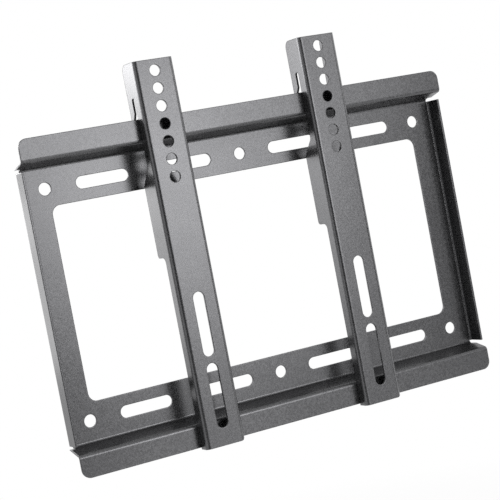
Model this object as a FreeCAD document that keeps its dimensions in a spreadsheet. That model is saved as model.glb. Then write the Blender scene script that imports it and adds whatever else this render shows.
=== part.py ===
import FreeCAD, Part
import math
import os
import Sketcher

# A fixed wall mount for a flat screen, folded from sheet steel: a plate that screws to the wall, and
# two channel arms that screw to the back of the screen, hook over the plate's upper lip and rest
# against its lower one. All sizes are millimetres. X points to the right as seen from the room and Z
# up. The wall is the plane Y = 0 and the room is on its -Y side, so a depth is measured along -Y.
# The origin is the middle of the plate's six round screw holes, on the wall.

SIZES = {
    # the sheet
    "sheet": 1.2,               # thickness of the steel
    "bend": 1.2,                # inside radius of every fold
    # the plate's outline and folds
    "plate_width": 274.0,       # over the side flanges, and the length of the lips
    "plate_height": 187.5,      # from the upper lip's edge to the lower one's
    "lip_depth": 14.8,          # the lips' room side
    "lip_height": 13.15,        # from a lip's edge to the far side of its ledge
    "lip_corner": 5.0,          # rounding of the lips' free corners
    "ledge_rise": 3.4,          # how far a ledge climbs from the web to its lip
    "flange_depth": 11.8,       # the side flanges' free edge
    "flange_gap": 1.2,          # between the end of a flange and the root of the ledge
    "corner_relief": 2.0,       # slit that frees the end of a flange from the ledge
    # the plate's cut-outs
    "rail_height": 21.95,       # web left between the window and a ledge
    "stile_width": 16.75,       # from the plate's side to the window
    "window_corner": 5.0,
    "row_inset": 11.9,          # from a ledge to the nearest row of holes
    "hole_inset": 15.0,         # from the plate's side to the corner holes
    "hole_width": 7.2,
    "slot_length": 32.0,
    "slot_width": 7.0,
    "inner_slot_offset": 35.0,  # from the middle hole to the next slot's centre
    "outer_slot_offset": 34.5,  # from a corner hole to the next slot's centre
    # the arms' outline
    "arm_width": 24.5,
    "arm_depth": 22.7,          # the face that the screen is screwed to
    "arm_place": 53.0,          # centre of an arm, from the middle of the plate
    "head_rise": 31.45,         # from the upper lip's edge to the top of the arm
    "foot_drop": 1.05,          # from the lower lip's edge to the bottom of the arm
    "wall_gap": 5.7,            # between the wall and the deep part of the arm's sides
    "seat_gap": 0.1,            # between the lips and the arm's edges that rest on them
    "head_corner": 4.5,
    "waist_height": 15.0,       # where the sides step back from deep to shallow
    "waist_heel": 2.0,          # rounding of the step's outer corner
    "waist_throat": 3.0,        # rounding of the step's inner corner
    "foot_corner": 2.8,
    # the hook in the arm's sides
    "hook_room": 11.85,         # free length of the slit above the upper lip
    "finger_gap": 2.2,          # between the back of the lip and the finger behind it
    "lead_rise": 3.25,          # from the lip's edge up to where the finger begins to narrow
    "lead_length": 3.2,         # height over which it narrows
    "tongue_width": 3.5,        # the finger's narrow end
    "tip_gap": 0.3,             # between the finger's tip and the ledge below it
    "tip_corner": 1.0,
    "slit_corner": 1.2,
    "notch_room": 11.2,         # from the root of the ledge down to the notch's sill
    "notch_corner": 2.5,
    # the screw holes for the screen, whose largest pattern is 200 high: from the top hole to the
    # lower slot's last place for a screw
    "screw_hole": 6.5,
    "screw_pitch": 10.0,
    "screw_count": 7,
    "screw_inset": 6.4,         # from the top of the arm to the top hole
    "screw_slot_length": 37.0,
    "screw_slot_width": 7.0,
    "screw_slot_inset": 10.1,   # from the bottom of the arm to the lower slot
    "screw_slot_bridge": 3.9,   # sheet left between the two slots
}

OVERCUT = 1.0                   # how far a cut runs past the edge that it opens
HOLE_COLUMNS = 3                # round screw holes of the plate, side by side
HOLE_ROWS = 2                   # and one above the other
TOLERANCE = 1e-4                # two places closer than this are the same


class Size:
    """A value in millimetres, with the spreadsheet formula that gives it."""

    def __init__(self, value, formula):
        self.value = value
        self.formula = formula

    def __add__(self, other):
        return combined(self, "+", other, self.value + as_size(other).value)

    def __sub__(self, other):
        return combined(self, "-", other, self.value - as_size(other).value)

    def __mul__(self, other):
        return combined(self, "*", other, self.value * as_size(other).value)

    def __truediv__(self, other):
        return combined(self, "/", other, self.value / as_size(other).value)

    def __neg__(self):
        return Size(-self.value, f"(-{self.formula})")


def as_size(term):
    return term if isinstance(term, Size) else Size(term, str(term))


def combined(left, sign, right, value):
    return Size(value, f"({left.formula} {sign} {as_size(right).formula})")


def square_root(term):
    return Size(math.sqrt(term.value), f"sqrt({term.formula})")


def make_sheet(doc):
    """Writes the sizes into a spreadsheet, one named cell each."""
    sheet = doc.addObject("Spreadsheet::Sheet", "sizes")
    for row, (name, value) in enumerate(SIZES.items(), start=1):
        sheet.set(f"A{row}", name)
        sheet.set(f"B{row}", str(value))
        sheet.setAlias(f"B{row}", name)
    doc.recompute()
    return {name: Size(value, f"sizes.{name}") for name, value in SIZES.items()}


def new_body(doc, name):
    body = doc.addObject("PartDesign::Body", name)
    body.Label = name
    return body


def origin_feature(body, role):
    return next(item for item in body.Origin.OriginFeatures if item.Role == role)


def new_sketch(body, plane, name):
    sketch = body.newObject("Sketcher::SketchObject", name)
    sketch.AttachmentSupport = [(origin_feature(body, plane), "")]
    sketch.MapMode = "FlatFace"
    return sketch


def dimension(sketch, kind, items, size):
    """Adds a dimension whose value is the size's formula."""
    index = sketch.addConstraint(Sketcher.Constraint(kind, *items, size.value))
    sketch.setExpression(f"Constraints[{index}]", size.formula)


def place_point(sketch, geometry, end, across, up):
    """Places a point from the sketch's origin; None puts it on that axis."""
    for kind, size, axis in (("DistanceX", across, -2), ("DistanceY", up, -1)):
        if size is None:
            sketch.addConstraint(Sketcher.Constraint("PointOnObject", geometry, end, axis))
        else:
            dimension(sketch, kind, (-1, 1, geometry, end), size)


def vector(across, up):
    return FreeCAD.Vector(across.value if across else 0.0, up.value if up else 0.0, 0.0)


def draw_outline(sketch, corners):
    """Draws a closed chain of straight lines through the corners, given as (across, up) pairs."""
    count = len(corners)
    for index, corner in enumerate(corners):
        end = corners[(index + 1) % count]
        sketch.addGeometry(Part.LineSegment(vector(*corner), vector(*end)), False)
    for index in range(count):
        sketch.addConstraint(Sketcher.Constraint("Coincident", index, 2, (index + 1) % count, 1))
    for index, (across, up) in enumerate(corners):
        place_point(sketch, index, 1, across, up)


def draw_circle(sketch, across, up, width):
    circle = Part.Circle(vector(across, up), FreeCAD.Vector(0, 0, 1), width.value / 2)
    index = sketch.addGeometry(circle, False)
    dimension(sketch, "Diameter", (index,), width)
    place_point(sketch, index, 3, across, up)


def draw_slot(sketch, across, up, length, width, upright=False):
    """Draws a slot with round ends about its centre; upright slots run along the sketch's height."""
    reach = (length - width) / 2
    radius = width / 2
    turn = math.pi / 2 if upright else 0.0
    along = FreeCAD.Vector(math.cos(turn), math.sin(turn), 0)
    aside = FreeCAD.Vector(-along.y, along.x, 0)
    centre = vector(across, up)
    ends = [centre + along * reach.value, centre - along * reach.value]
    arcs = []
    for number, end in enumerate(ends):
        circle = Part.Circle(end, FreeCAD.Vector(0, 0, 1), radius.value)
        start = turn - math.pi / 2 + number * math.pi
        arcs.append(sketch.addGeometry(Part.ArcOfCircle(circle, start, start + math.pi), False))
    sides = []
    for number, side in enumerate((aside, -aside)):
        offset = side * radius.value
        line = Part.LineSegment(ends[number] + offset, ends[1 - number] + offset)
        sides.append(sketch.addGeometry(line, False))
    for number in (0, 1):
        sketch.addConstraint(Sketcher.Constraint("Tangent", arcs[number], 2, sides[number], 1))
        sketch.addConstraint(Sketcher.Constraint("Tangent", sides[number], 2, arcs[1 - number], 1))
        direction = "Vertical" if upright else "Horizontal"
        sketch.addConstraint(Sketcher.Constraint(direction, sides[number]))
    dimension(sketch, "Radius", (arcs[0],), radius)
    if upright:
        place_point(sketch, arcs[0], 3, across, up + reach)
        dimension(sketch, "DistanceY", (arcs[1], 3, arcs[0], 3), length - width)
    else:
        place_point(sketch, arcs[0], 3, across + reach, up)
        dimension(sketch, "DistanceX", (arcs[1], 3, arcs[0], 3), length - width)


def pad(body, sketch, name, length):
    feature = body.newObject("PartDesign::Pad", name)
    feature.Profile = sketch
    feature.setExpression("Length", length.formula)
    return feature


def pocket(body, sketch, name):
    """Cuts the sketch right through, both ways."""
    feature = body.newObject("PartDesign::Pocket", name)
    feature.Profile = sketch
    feature.Type = "ThroughAll"
    feature.SideType = "Symmetric"
    return feature


def straight_edges(body, direction, test):
    """Names the body's straight edges along a direction whose middle passes the test."""
    names = []
    for number, edge in enumerate(body.Tip.Shape.Edges, start=1):
        first, last = edge.Vertexes[0].Point, edge.Vertexes[-1].Point
        span = last - first
        straight = isinstance(edge.Curve, Part.Line) and span.cross(direction).Length < TOLERANCE
        if straight and test((first + last) / 2):
            names.append(f"Edge{number}")
    return names


def near(value, *targets):
    return any(abs(value - target.value) < TOLERANCE for target in targets)


def fillet(body, name, radius, direction, test):
    """Rounds the body's straight edges along a direction whose middle passes the test."""
    body.Document.recompute()
    base = body.Tip
    names = straight_edges(body, direction, test)
    feature = body.newObject("PartDesign::Fillet", name)
    feature.Base = (base, names)
    feature.setExpression("Radius", radius.formula)
    body.Document.recompute()
    return feature


ALONG_X = FreeCAD.Vector(1, 0, 0)
ALONG_Y = FreeCAD.Vector(0, 1, 0)
ALONG_Z = FreeCAD.Vector(0, 0, 1)


def lip_edge(size):
    """Height of the upper lip's free edge; the lower one is its mirror image."""
    return size["plate_height"] / 2


def ledge_root(size):
    """Height at which the upper ledge leaves the web's room side."""
    return lip_edge(size) - size["lip_height"] - size["ledge_rise"]


def ledge_slope(size):
    return size["ledge_rise"] / (size["lip_depth"] - size["sheet"])


def ledge_underside(size, depth):
    """Height of the upper ledge's lower side at a depth from the wall."""
    return ledge_root(size) + (depth - size["sheet"]) * ledge_slope(size)


def ledge_top(size, depth):
    """Height of the upper ledge's upper side at a depth from the wall."""
    slope = ledge_slope(size)
    return ledge_underside(size, depth) + size["sheet"] * square_root(slope * slope + 1.0)


def flange_end(size):
    """Height of the side flanges' upper end."""
    return ledge_root(size) - size["flange_gap"]


def row_place(size):
    """Height of the upper row of holes and slots."""
    return ledge_root(size) - size["row_inset"]


def corner_hole_place(size):
    """Distance of the corner holes from the middle of the plate, sideways."""
    return size["plate_width"] / 2 - size["hole_inset"]


def arm_head(size):
    """Height of the top of the arm."""
    return lip_edge(size) + size["head_rise"]


def arm_foot(size):
    """Height of the bottom of the arm."""
    return -(lip_edge(size) + size["foot_drop"])


def arm_seat(size):
    """Depth of the arm's edges that rest on the lips."""
    return size["lip_depth"] + size["seat_gap"]


def fold_rails(body, size):
    """The plate's section from lip to lip: lip, sloping ledge, web, sloping ledge, lip."""
    front = size["lip_depth"]
    back = front - size["sheet"]
    web = size["sheet"]
    edge = lip_edge(size)
    upper = [
        (None, ledge_top(size, as_size(0.0))),
        (-back, ledge_top(size, back)),
        (-back, edge),
        (-front, edge),
        (-front, ledge_underside(size, front)),
        (-web, ledge_underside(size, web)),
    ]
    lower = [(across, -up) for across, up in reversed(upper)]
    section = new_sketch(body, "YZ_Plane", "rail_section")
    draw_outline(section, upper + lower)
    rails = pad(body, section, "rails", size["plate_width"])
    rails.SideType = "Symmetric"

    def is_fold(point):
        return abs(point.z) < edge.value - size["sheet"].value

    outer = size["bend"] + size["sheet"]
    fillet(body, "rail_folds_inside", size["bend"], ALONG_X,
           lambda point: is_fold(point) and near(point.y, -back, -web))
    fillet(body, "rail_folds_outside", outer, ALONG_X,
           lambda point: is_fold(point) and near(point.y, -front, as_size(0.0)))


def trim_web_ends(body, size):
    """Clears the web beyond the flanges' folds, with a slit between flange and ledge."""
    fold = size["plate_width"] / 2 - size["sheet"] - size["bend"]
    past = size["plate_width"] / 2 + OVERCUT
    top = flange_end(size) + size["corner_relief"]
    for name, side in (("left", -1.0), ("right", 1.0)):
        sketch = new_sketch(body, "XZ_Plane", f"{name}_end_trim")
        draw_outline(sketch, [(fold * side, -top), (past * side, -top),
                              (past * side, top), (fold * side, top)])
        pocket(body, sketch, f"{name}_end_cut")


def fold_flanges(body, size):
    """The plate's section from side to side: flange, web, flange."""
    half = size["plate_width"] / 2
    inside = half - size["sheet"]
    front = size["flange_depth"]
    web = size["sheet"]
    right = [(inside, -web), (inside, -front), (half, -front), (half, None)]
    left = [(-across, up) for across, up in reversed(right)]
    section = new_sketch(body, "XY_Plane", "flange_section")
    draw_outline(section, right + left)
    flanges = pad(body, section, "flanges", flange_end(size) * 2)
    flanges.SideType = "Symmetric"
    outer = size["bend"] + size["sheet"]
    fillet(body, "flange_folds_inside", size["bend"], ALONG_Z,
           lambda point: near(abs(point.x), inside) and near(point.y, -web))
    fillet(body, "flange_folds_outside", outer, ALONG_Z,
           lambda point: near(abs(point.x), half) and near(point.y, as_size(0.0)))


def cut_window(body, size):
    half_width = size["plate_width"] / 2 - size["stile_width"]
    half_height = ledge_root(size) - size["rail_height"]
    sketch = new_sketch(body, "XZ_Plane", "window_outline")
    draw_outline(sketch, [(-half_width, -half_height), (half_width, -half_height),
                          (half_width, half_height), (-half_width, half_height)])
    pocket(body, sketch, "window")
    fillet(body, "window_corners", size["window_corner"], ALONG_Y,
           lambda point: near(abs(point.x), half_width) and near(abs(point.z), half_height))


def cut_screw_holes(body, size):
    """The round holes, one in each corner and one in the middle of each row."""
    sketch = new_sketch(body, "XZ_Plane", "hole_circle")
    across = corner_hole_place(size)
    up = row_place(size)
    draw_circle(sketch, -across, -up, size["hole_width"])
    hole = pocket(body, sketch, "corner_hole")
    grid = body.newObject("PartDesign::LinearPattern", "hole_grid")
    grid.Originals = [hole]
    grid.Direction = (sketch, ["H_Axis"])
    grid.setExpression("Length", (across * 2).formula)
    grid.Occurrences = HOLE_COLUMNS
    grid.Direction2 = (sketch, ["V_Axis"])
    grid.setExpression("Length2", (up * 2).formula)
    grid.Occurrences2 = HOLE_ROWS
    body.Tip = grid


def cut_plate_slots(body, size):
    """Four slots in the upper row, mirrored into the lower row."""
    sketch = new_sketch(body, "XZ_Plane", "slot_row")
    up = row_place(size)
    for across in (size["inner_slot_offset"], corner_hole_place(size) - size["outer_slot_offset"]):
        for place in (-across, across):
            draw_slot(sketch, place, up, size["slot_length"], size["slot_width"])
    row = pocket(body, sketch, "upper_slots")
    mirror = body.newObject("PartDesign::Mirrored", "lower_slots")
    mirror.Originals = [row]
    mirror.MirrorPlane = (origin_feature(body, "XY_Plane"), [""])
    body.Tip = mirror


def make_wall_plate(doc, size):
    body = new_body(doc, "wall_plate")
    fold_rails(body, size)
    trim_web_ends(body, size)
    fold_flanges(body, size)
    cut_window(body, size)
    cut_screw_holes(body, size)
    cut_plate_slots(body, size)
    half_width = size["plate_width"] / 2
    edge = lip_edge(size)
    fillet(body, "lip_corners", size["lip_corner"], ALONG_Y,
           lambda point: near(abs(point.x), half_width) and near(abs(point.z), edge))
    return body


def fold_channel(body, size):
    """The arm's section: a face towards the screen and two sides towards the wall."""
    half = size["arm_width"] / 2
    inside = half - size["sheet"]
    front = size["arm_depth"]
    face = front - size["sheet"]
    back = size["wall_gap"]
    right = [(inside, -face), (inside, -back), (half, -back), (half, -front)]
    left = [(-across, up) for across, up in reversed(right)]
    section = new_sketch(body, "XY_Plane", "channel_section")
    section.setExpression("AttachmentOffset.Base.z", arm_foot(size).formula)
    draw_outline(section, right + left)
    pad(body, section, "channel", arm_head(size) - arm_foot(size))
    outer = size["bend"] + size["sheet"]
    fillet(body, "channel_folds_inside", size["bend"], ALONG_Z,
           lambda point: near(abs(point.x), inside) and near(point.y, -face))
    fillet(body, "channel_folds_outside", outer, ALONG_Z,
           lambda point: near(abs(point.x), half) and near(point.y, -front))


def cut_waist(body, size):
    """Below the waist the sides end at the lower lip, so the arm lies in front of it."""
    seat = arm_seat(size)
    back = size["wall_gap"]
    clear = back - OVERCUT
    waist = size["waist_height"]
    below = arm_foot(size) - OVERCUT
    sketch = new_sketch(body, "YZ_Plane", "waist_outline")
    draw_outline(sketch, [(-clear, waist), (-clear, below), (-seat, below), (-seat, waist)])
    pocket(body, sketch, "waist")
    fillet(body, "waist_heel_round", size["waist_heel"], ALONG_X,
           lambda point: near(point.y, -back) and near(point.z, waist))
    fillet(body, "waist_throat_round", size["waist_throat"], ALONG_X,
           lambda point: near(point.y, -seat) and near(point.z, waist))


def cut_hook(body, size):
    """A notch from the back edge that takes the ledge, and the slit above it that takes the lip.

    What is left between the slit and the back edge is a finger that reaches down behind the lip
    and stands on the ledge. From the sill the notch slopes down to the back edge at 45 degrees.
    """
    seat = arm_seat(size)
    back = size["wall_gap"]
    clear = back - OVERCUT
    finger = size["lip_depth"] - size["sheet"] - size["finger_gap"]
    tongue = back + size["tongue_width"]
    tip = ledge_top(size, tongue) + size["tip_gap"]
    top = lip_edge(size) + size["hook_room"]
    lead = lip_edge(size) + size["lead_rise"]
    sill = ledge_root(size) - size["notch_room"]
    heel = sill - (seat - back)
    sketch = new_sketch(body, "YZ_Plane", "hook_outline")
    draw_outline(sketch, [
        (-seat, sill),
        (-seat, top),
        (-finger, top),
        (-finger, lead),
        (-tongue, lead - size["lead_length"]),
        (-tongue, tip),
        (-clear, tip),
        (-clear, heel),
        (-back, heel),
    ])
    pocket(body, sketch, "hook")
    fillet(body, "slit_round", size["slit_corner"], ALONG_X,
           lambda point: near(point.y, -seat, -finger) and near(point.z, top))
    fillet(body, "tip_round", size["tip_corner"], ALONG_X,
           lambda point: near(point.y, -tongue, -back) and near(point.z, tip))
    fillet(body, "notch_round", size["notch_corner"], ALONG_X,
           lambda point: near(point.z, sill, heel) and near(point.y, -seat, -back))


def cut_foot_corner(body, size):
    """Rounds off the face's lower right corner, where the right side stops short of the foot."""
    half = size["arm_width"] / 2
    radius = size["foot_corner"]
    inner = half - radius
    foot = arm_foot(size)
    upper = foot + radius
    past = half + OVERCUT
    below = foot - OVERCUT
    sketch = new_sketch(body, "XZ_Plane", "foot_outline")
    corners = [(half, upper), (past, upper), (past, below), (inner, below), (inner, foot)]
    for start, end in zip(corners, corners[1:]):
        sketch.addGeometry(Part.LineSegment(vector(*start), vector(*end)), False)
    circle = Part.Circle(vector(inner, upper), FreeCAD.Vector(0, 0, 1), radius.value)
    arc = sketch.addGeometry(Part.ArcOfCircle(circle, -math.pi / 2, 0.0), False)
    for index in range(len(corners) - 2):
        sketch.addConstraint(Sketcher.Constraint("Coincident", index, 2, index + 1, 1))
    last = len(corners) - 2
    sketch.addConstraint(Sketcher.Constraint("Coincident", last, 2, arc, 1))
    sketch.addConstraint(Sketcher.Constraint("Coincident", 0, 1, arc, 2))
    for index, (across, up) in enumerate(corners[:-1]):
        place_point(sketch, index, 1, across, up)
    place_point(sketch, last, 2, *corners[-1])
    dimension(sketch, "Radius", (arc,), radius)
    pocket(body, sketch, "foot_corner_cut")


def cut_screen_holes(body, size):
    """A column of round screw holes, with two long slots below it."""
    sketch = new_sketch(body, "XZ_Plane", "screw_circle")
    draw_circle(sketch, None, arm_head(size) - size["screw_inset"], size["screw_hole"])
    hole = pocket(body, sketch, "top_screw_hole")
    column = body.newObject("PartDesign::LinearPattern", "screw_column")
    column.Originals = [hole]
    column.Direction = (sketch, ["V_Axis"])
    column.Reversed = True
    column.setExpression("Occurrences", size["screw_count"].formula)
    column.setExpression("Length", (size["screw_pitch"] * (size["screw_count"] - 1)).formula)
    body.Tip = column
    lower_slot = arm_foot(size) + size["screw_slot_inset"] + size["screw_slot_length"] / 2
    upper_slot = lower_slot + size["screw_slot_length"] + size["screw_slot_bridge"]
    slots = new_sketch(body, "XZ_Plane", "screw_slots")
    for centre in (upper_slot, lower_slot):
        draw_slot(slots, None, centre, size["screw_slot_length"], size["screw_slot_width"], upright=True)
    pocket(body, slots, "screw_slot_cuts")


def make_arm(doc, size, name, side):
    body = new_body(doc, name)
    fold_channel(body, size)
    fillet(body, "head_corners", size["head_corner"], ALONG_X,
           lambda point: near(point.y, -size["wall_gap"]) and near(point.z, arm_head(size)))
    cut_waist(body, size)
    cut_hook(body, size)
    cut_foot_corner(body, size)
    cut_screen_holes(body, size)
    body.setExpression("Placement.Base.x", (size["arm_place"] * side).formula)
    return body


def check(doc, parts):
    """Stops if a feature failed or a part is not one whole solid."""
    for item in doc.Objects:
        faults = {"Invalid", "Error"} & set(item.State)
        if faults:
            raise RuntimeError(f"{item.Name}: {', '.join(sorted(faults))}")
    for part in parts:
        shape = part.Shape
        if shape.isNull() or not shape.isValid() or len(shape.Solids) != 1:
            raise RuntimeError(f"{part.Label}: the shape is not one valid solid")


def main():
    doc = FreeCAD.newDocument("wall_mount")
    size = make_sheet(doc)
    parts = [
        make_wall_plate(doc, size),
        make_arm(doc, size, "arm_left", -1.0),
        make_arm(doc, size, "arm_right", 1.0),
    ]
    doc.recompute()
    check(doc, parts)
    os.makedirs("parts", exist_ok=True)
    for part in parts:
        part.Shape.exportStep(f"parts/{part.Label}.step")


main()
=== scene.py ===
import math
import bpy
from mathutils import Matrix, Vector


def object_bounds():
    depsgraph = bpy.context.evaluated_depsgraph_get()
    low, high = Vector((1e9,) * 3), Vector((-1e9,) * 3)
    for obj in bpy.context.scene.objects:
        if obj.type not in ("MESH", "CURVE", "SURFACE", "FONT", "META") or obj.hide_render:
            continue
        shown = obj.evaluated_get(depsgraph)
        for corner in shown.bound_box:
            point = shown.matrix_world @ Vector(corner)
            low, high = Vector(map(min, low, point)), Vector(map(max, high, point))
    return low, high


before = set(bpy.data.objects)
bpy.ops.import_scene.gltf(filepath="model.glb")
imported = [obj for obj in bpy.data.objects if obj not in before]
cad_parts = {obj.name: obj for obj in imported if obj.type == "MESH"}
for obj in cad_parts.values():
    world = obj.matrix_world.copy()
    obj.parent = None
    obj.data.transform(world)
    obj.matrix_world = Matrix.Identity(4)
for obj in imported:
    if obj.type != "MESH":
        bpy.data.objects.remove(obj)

MM = 0.001
WHITE = (1, 1, 1, 1)

# Where the photograph was taken from, in metres and degrees
CAMERA_PLACE = (-0.40674, -0.80557, 0.05247)
CAMERA_HEADING = 26.53          # from straight at the wall towards the right
CAMERA_DIP = 2.79               # below the horizon
CAMERA_ROLL = -10.80            # about the line of sight
CAMERA_LENS = 110.72            # on a sensor 36 mm wide
CAMERA_NEAREST = 0.01           # nothing nearer is drawn

# The powder coat
COAT_DARK = (0.078, 0.078, 0.081)
COAT_LIGHT = (0.136, 0.136, 0.141)
COAT_METAL = 0.85
COAT_ROUGHNESS = (0.25, 0.31)   # follows the grain
GRAIN_SIZE = 0.9 * MM           # the coat's fine texture
GRAIN_DETAIL = 2.0
GRAIN_HARSHNESS = 0.6
GRAIN_HEIGHT = 0.0015 * MM
PEEL_SIZE = 3.5 * MM            # its slow waviness
PEEL_DETAIL = 1.0
PEEL_HEIGHT = 0.003 * MM
PATCH_SIZE = 28 * MM            # slight changes of tone from place to place
PATCH_DETAIL = 2.0
PATCH_SHARE = (0.7, 1.0)        # how much of the grain's lightness a patch lets through
EDGE_RADIUS = 0.6 * MM          # the coat rounds the cut edges
EDGE_SAMPLES = 16

# Ranges of a noise's values that are spread over a tone or over the gloss
TONE_SPAN = (0.30, 0.70)
GLOSS_SPAN = (0.35, 0.65)
FULL_SPAN = (0.0, 1.0)

# The numbers of a mix node's sockets when it mixes colours
MIX_SHARE = 0
MIX_FIRST = 6
MIX_SECOND = 7
MIX_RESULT = 2

# The studio
FLOOR_DROP = 0.25               # from the object's lowest point down to the floor
FLOOR_SIZE = 12.0
FLOOR_COLOUR = (0.86, 0.86, 0.86)
FLOOR_ROUGHNESS = 0.9
FLOOR_FADE = (0.30, 1.0)        # distances between which the floor turns plain white

# Softboxes, all upright, in degrees, metres and watts: a bearing of 0 is the room side and 90
# the right, and middle is the height of a box's middle
SOFTBOXES = {
    "front": dict(bearing=15, distance=1.0, middle=0.17, width=0.40, height=0.40, power=1.80),
    "front_near": dict(bearing=20, distance=0.60, middle=0.0, width=0.24, height=0.24, power=0.34),
    "front_upper": dict(bearing=35, distance=0.60, middle=0.13, width=0.12, height=0.18, power=0.075),
    "front_lower": dict(bearing=14, distance=0.60, middle=-0.22, width=0.24, height=0.10, power=0.06),
    "right": dict(bearing=80, distance=0.90, middle=0.10, width=0.72, height=0.72, power=1.6),
    "back_top": dict(bearing=-128, distance=0.40, middle=0.20, width=0.40, height=0.20, power=0.74),
    "back_near": dict(bearing=-130, distance=0.29, middle=0.20, width=0.14, height=0.14, power=0.31),
    "back_side": dict(bearing=-150, distance=0.35, middle=0.10, width=0.14, height=0.14, power=0.06),
    "back_low": dict(bearing=-145, distance=0.40, middle=0.0, width=0.20, height=0.14, power=0.10),
}

# Black cards, placed in the same way: one beside the camera, which draws the dark lines along
# the folds, and one on the right, which darkens the plate's right side
CARDS = {
    "camera_card": dict(bearing=-16.5, distance=1.0, middle=-0.01, width=1.13, height=0.68),
    "right_card": dict(bearing=51, distance=0.80, middle=-0.04, width=0.28, height=0.26),
}
CARD_COLOUR = (0.02, 0.02, 0.02)


def keep_bounds(bounds):
    """The lowest and the highest corner as plain lists, ready to be written."""
    return [list(corner) for corner in bounds]


cad_bounds = keep_bounds(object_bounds())


def new_material(name):
    """Makes a material; returns it with its node tree and its shader."""
    material = bpy.data.materials.new(name)
    material.use_nodes = True
    tree = material.node_tree
    return material, tree, tree.nodes["Principled BSDF"]


def add_node(tree, kind, **values):
    """Adds a shader node; values are its inputs by name, with blanks as underscores."""
    node = tree.nodes.new(kind)
    for name, value in values.items():
        node.inputs[name.replace("_", " ")].default_value = value
    return node


def combine(tree, operation, first, second):
    """Works out one value from two, by an operation such as MULTIPLY."""
    node = add_node(tree, "ShaderNodeMath")
    node.operation = operation
    tree.links.new(first, node.inputs[0])
    tree.links.new(second, node.inputs[1])
    return node.outputs["Value"]


def spread(tree, value, source, target):
    """Maps a value from one range to another."""
    node = add_node(tree, "ShaderNodeMapRange", From_Min=source[0], From_Max=source[1],
                    To_Min=target[0], To_Max=target[1])
    tree.links.new(value, node.inputs["Value"])
    return node.outputs["Result"]


def noise(tree, place, size, detail, harshness=0.5):
    """A noise between 0 and 1 whose coarsest spots are about as large as size."""
    node = add_node(tree, "ShaderNodeTexNoise", Scale=1 / size, Detail=detail, Roughness=harshness)
    tree.links.new(place, node.inputs["Vector"])
    return node.outputs["Fac"]


def coat_colour(tree, grain, patch):
    """From dark to light with the grain, and darker in some patches."""
    lightness = combine(tree, "MULTIPLY", spread(tree, grain, TONE_SPAN, FULL_SPAN),
                        spread(tree, patch, TONE_SPAN, PATCH_SHARE))
    colour = add_node(tree, "ShaderNodeMix")
    colour.data_type = "RGBA"
    colour.inputs[MIX_FIRST].default_value = (*COAT_DARK, 1)
    colour.inputs[MIX_SECOND].default_value = (*COAT_LIGHT, 1)
    tree.links.new(lightness, colour.inputs[MIX_SHARE])
    return colour.outputs[MIX_RESULT]


def coat_surface(tree, peel, grain):
    """Rounded at the cut edges, with a slow waviness and a fine grain."""
    edges = add_node(tree, "ShaderNodeBevel", Radius=EDGE_RADIUS)
    edges.samples = EDGE_SAMPLES
    normal = edges.outputs["Normal"]
    for height, reach in ((peel, PEEL_HEIGHT), (grain, GRAIN_HEIGHT)):
        bump = add_node(tree, "ShaderNodeBump", Strength=1.0, Distance=reach)
        tree.links.new(height, bump.inputs["Height"])
        tree.links.new(normal, bump.inputs["Normal"])
        normal = bump.outputs["Normal"]
    return normal


def powder_coat():
    """Dark grey powder coat on steel, half glossy."""
    material, tree, shader = new_material("powder_coat")
    place = add_node(tree, "ShaderNodeTexCoord").outputs["Object"]
    grain = noise(tree, place, GRAIN_SIZE, GRAIN_DETAIL, GRAIN_HARSHNESS)
    peel = noise(tree, place, PEEL_SIZE, PEEL_DETAIL)
    patch = noise(tree, place, PATCH_SIZE, PATCH_DETAIL)
    shader.inputs["Metallic"].default_value = COAT_METAL
    tree.links.new(coat_colour(tree, grain, patch), shader.inputs["Base Color"])
    tree.links.new(spread(tree, grain, GLOSS_SPAN, COAT_ROUGHNESS), shader.inputs["Roughness"])
    tree.links.new(coat_surface(tree, peel, grain), shader.inputs["Normal"])
    return material


def coat_the_sheets():
    """Gives the plate and both arms the same coat."""
    material = powder_coat()
    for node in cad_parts.values():
        node.data.materials.clear()
        node.data.materials.append(material)


def add_camera():
    """Looks at the mount from where the photograph was taken."""
    lens = bpy.data.cameras.new("camera")
    lens.lens = CAMERA_LENS
    lens.clip_start = CAMERA_NEAREST
    camera = bpy.data.objects.new("camera", lens)
    bpy.context.collection.objects.link(camera)
    heading = Matrix.Rotation(math.radians(-CAMERA_HEADING), 4, "Z")
    dip = Matrix.Rotation(math.radians(90 - CAMERA_DIP), 4, "X")
    roll = Matrix.Rotation(math.radians(CAMERA_ROLL), 4, "Z")
    camera.matrix_world = Matrix.Translation(CAMERA_PLACE) @ heading @ dip @ roll
    bpy.context.scene.camera = camera


def light_world():
    """White all round, which is the background and a plain soft light on everything."""
    world = bpy.data.worlds.new("studio")
    bpy.context.scene.world = world
    world.use_nodes = True
    background = world.node_tree.nodes["Background"]
    background.inputs["Color"].default_value = WHITE
    background.inputs["Strength"].default_value = 1.0


def place_upright(thing, bearing, distance, middle):
    """Stands a lamp or a card upright at a distance, turned to the object."""
    turn = math.radians(bearing)
    towards = Vector((math.sin(turn), -math.cos(turn), 0))
    thing.location = towards * distance + Vector((0, 0, middle))
    thing.rotation_euler = towards.to_track_quat("Z", "Y").to_euler()
    thing.visible_camera = False


def add_softbox(name, bearing, distance, middle, width, height, power):
    data = bpy.data.lights.new(name, "AREA")
    data.shape = "RECTANGLE"
    data.size = width
    data.size_y = height
    data.energy = power
    lamp = bpy.data.objects.new(name, data)
    bpy.context.collection.objects.link(lamp)
    place_upright(lamp, bearing, distance, middle)


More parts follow.
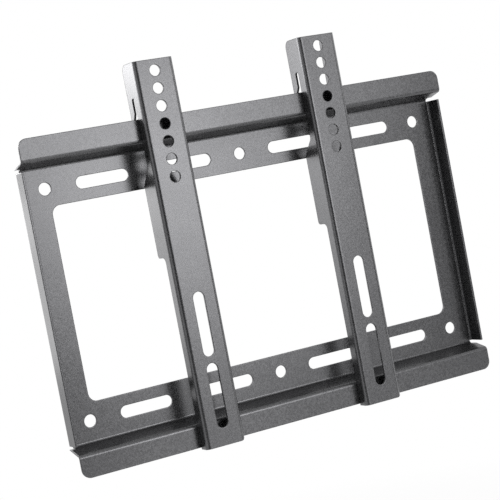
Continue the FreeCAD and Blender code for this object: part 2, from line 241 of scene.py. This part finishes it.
def add_card(name, bearing, distance, middle, width, height):
    bpy.ops.mesh.primitive_plane_add(size=1)
    card = bpy.context.object
    card.name = name
    card.scale = (width, height, 1)
    place_upright(card, bearing, distance, middle)
    material, _, shader = new_material(name)
    shader.inputs["Base Color"].default_value = (*CARD_COLOUR, 1)
    shader.inputs["Roughness"].default_value = 1.0
    shader.inputs["Specular IOR Level"].default_value = 0.0
    card.data.materials.append(material)


def seen_directly(tree):
    """1 for rays from the camera and for those that mirror or pass through, 0 for all others."""
    path = add_node(tree, "ShaderNodeLightPath")
    seen = path.outputs["Is Camera Ray"]
    for name in ("Is Glossy Ray", "Is Transmission Ray"):
        seen = combine(tree, "MAXIMUM", seen, path.outputs[name])
    return seen


def lay_floor():
    """A pale floor with the object's shadow on it, plain white further out."""
    floor_height = cad_bounds[0][2] - FLOOR_DROP
    bpy.ops.mesh.primitive_plane_add(size=FLOOR_SIZE, location=(0, 0, floor_height))
    floor = bpy.context.object
    floor.name = "floor"
    material, tree, paint = new_material("floor")
    paint.inputs["Base Color"].default_value = (*FLOOR_COLOUR, 1)
    paint.inputs["Roughness"].default_value = FLOOR_ROUGHNESS
    white = add_node(tree, "ShaderNodeEmission", Color=WHITE, Strength=1.0)
    distance = add_node(tree, "ShaderNodeVectorMath")
    distance.operation = "LENGTH"
    place = add_node(tree, "ShaderNodeTexCoord").outputs["Object"]
    tree.links.new(place, distance.inputs[0])
    far = spread(tree, distance.outputs["Value"], FLOOR_FADE, FULL_SPAN)
    surface = add_node(tree, "ShaderNodeMixShader")
    tree.links.new(combine(tree, "MULTIPLY", far, seen_directly(tree)), surface.inputs[0])
    tree.links.new(paint.outputs[0], surface.inputs[1])
    tree.links.new(white.outputs[0], surface.inputs[2])
    tree.links.new(surface.outputs[0], tree.nodes["Material Output"].inputs["Surface"])
    floor.data.materials.append(material)


coat_the_sheets()
add_camera()
light_world()
for name, box in SOFTBOXES.items():
    add_softbox(name, **box)
for name, card in CARDS.items():
    add_card(name, **card)
lay_floor()
bpy.context.scene.view_settings.view_transform = "Standard"
